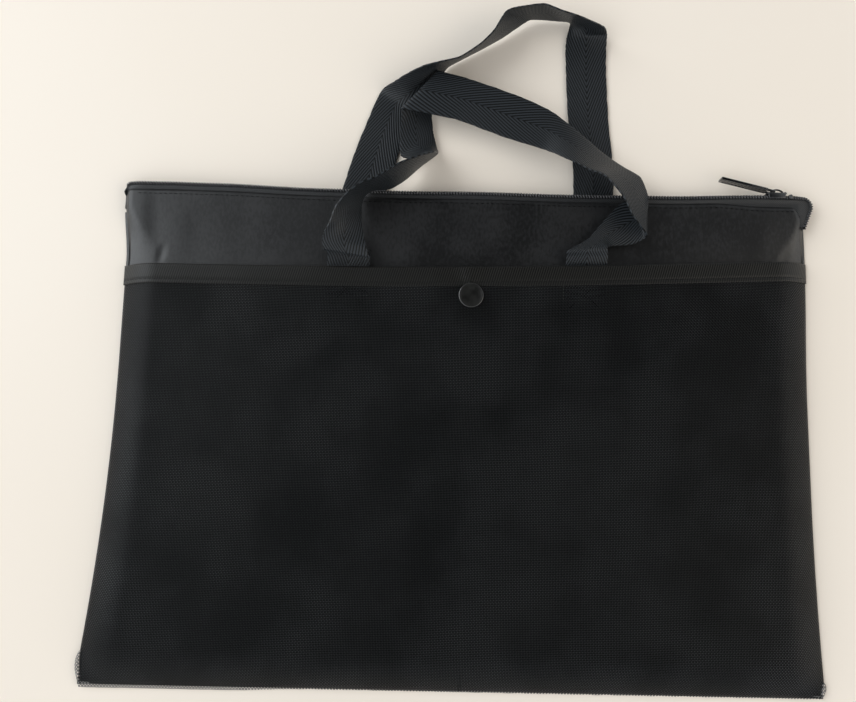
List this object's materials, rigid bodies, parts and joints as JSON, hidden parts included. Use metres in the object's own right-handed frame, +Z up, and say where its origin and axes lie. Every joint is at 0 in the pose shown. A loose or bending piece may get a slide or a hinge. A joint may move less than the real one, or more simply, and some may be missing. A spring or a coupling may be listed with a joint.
{
  "type": "portfolio case",
  "caption": "Flat zipped portfolio case in black cloth with a mesh front pocket, a press stud at the pocket mouth and webbing carry handles.",
  "frame": {"origin": "on the resting face of the back panel, under the middle of the case body", "axes": "+X along the width, +Y towards the zipper and the handles, +Z up out of the front panel"},
  "size_m": [0.4268, 0.4166, 0.0321],
  "materials": {
    "nylon": "matt coated nylon oxford cloth, plain weave",
    "mesh": "open polyester mesh, fine staggered holes, slight sheen",
    "binding": "matt twill tape",
    "webbing": "herringbone polypropylene webbing, slight sheen",
    "zipper_tape": "woven zipper tape",
    "coil": "nylon coil, satin",
    "slider": "gloss black enamel on cast zinc",
    "snap_plastic": "moulded gloss black acetal",
    "thread": "polyester sewing thread"
  },
  "bodies": {
    "root": {"back_panel": "nylon", "front_panel": "nylon", "pocket_mesh": "mesh", "pocket_binding": "binding", "binding_stitching": "thread", "seam_left": "nylon", "seam_right": "nylon", "seam_bottom": "nylon", "zipper_tape_front": "zipper_tape", "zipper_tape_back": "zipper_tape", "zipper_coil_front": "coil", "zipper_coil_back": "coil", "zipper_stops": "slider", "zipper_end_left": "zipper_tape", "zipper_end_right": "zipper_tape", "zipper_topstitching": "thread", "front_handle_ends": "webbing", "rear_handle_ends": "webbing", "front_handle_stitching": "thread", "rear_handle_stitching": "thread", "snap_stud": "snap_plastic", "snap_back_cap": "snap_plastic"},
    "pocket_mouth": {"snap_cap": "snap_plastic", "snap_socket": "snap_plastic"},
    "zipper_slider": {"slider_body": "slider", "slider_bridge": "slider"},
    "zipper_pull": {"pull_tab": "slider"},
    "front_handle": {"front_handle_loop": "webbing"},
    "rear_handle": {"rear_handle_loop": "webbing"}
  },
  "joints": [
    {"name": "front_handle_swing", "type": "hinge", "parent": "root", "child": "front_handle", "pos_m": [0, 0.1043, 0.011], "axis": [1, 0, 0], "range_deg": [0, 104]},
    {"name": "rear_handle_swing", "type": "hinge", "parent": "root", "child": "rear_handle", "pos_m": [0, 0.1496, 0.0013], "axis": [1, 0, 0], "range_deg": [0, 78]},
    {"name": "zipper_slide", "type": "slide", "parent": "root", "child": "zipper_slider", "axis": [-1, 0, 0], "range_m": [0, 0.372]},
    {"name": "zipper_pull_swing", "type": "hinge", "parent": "zipper_slider", "child": "zipper_pull", "pos_m": [0.1875, 0.15035, 0.006], "axis": [0, 0, -1], "range_deg": [-6, 120]},
    {"name": "pocket_mouth_lift", "type": "slide", "parent": "root", "child": "pocket_mouth", "axis": [0, 0, 1], "range_m": [0, 0.012]}
  ],
  "couplings": [
    {"joint": "rear_handle_swing", "follows": "front_handle_swing", "ratio": 0.75}
  ]
}
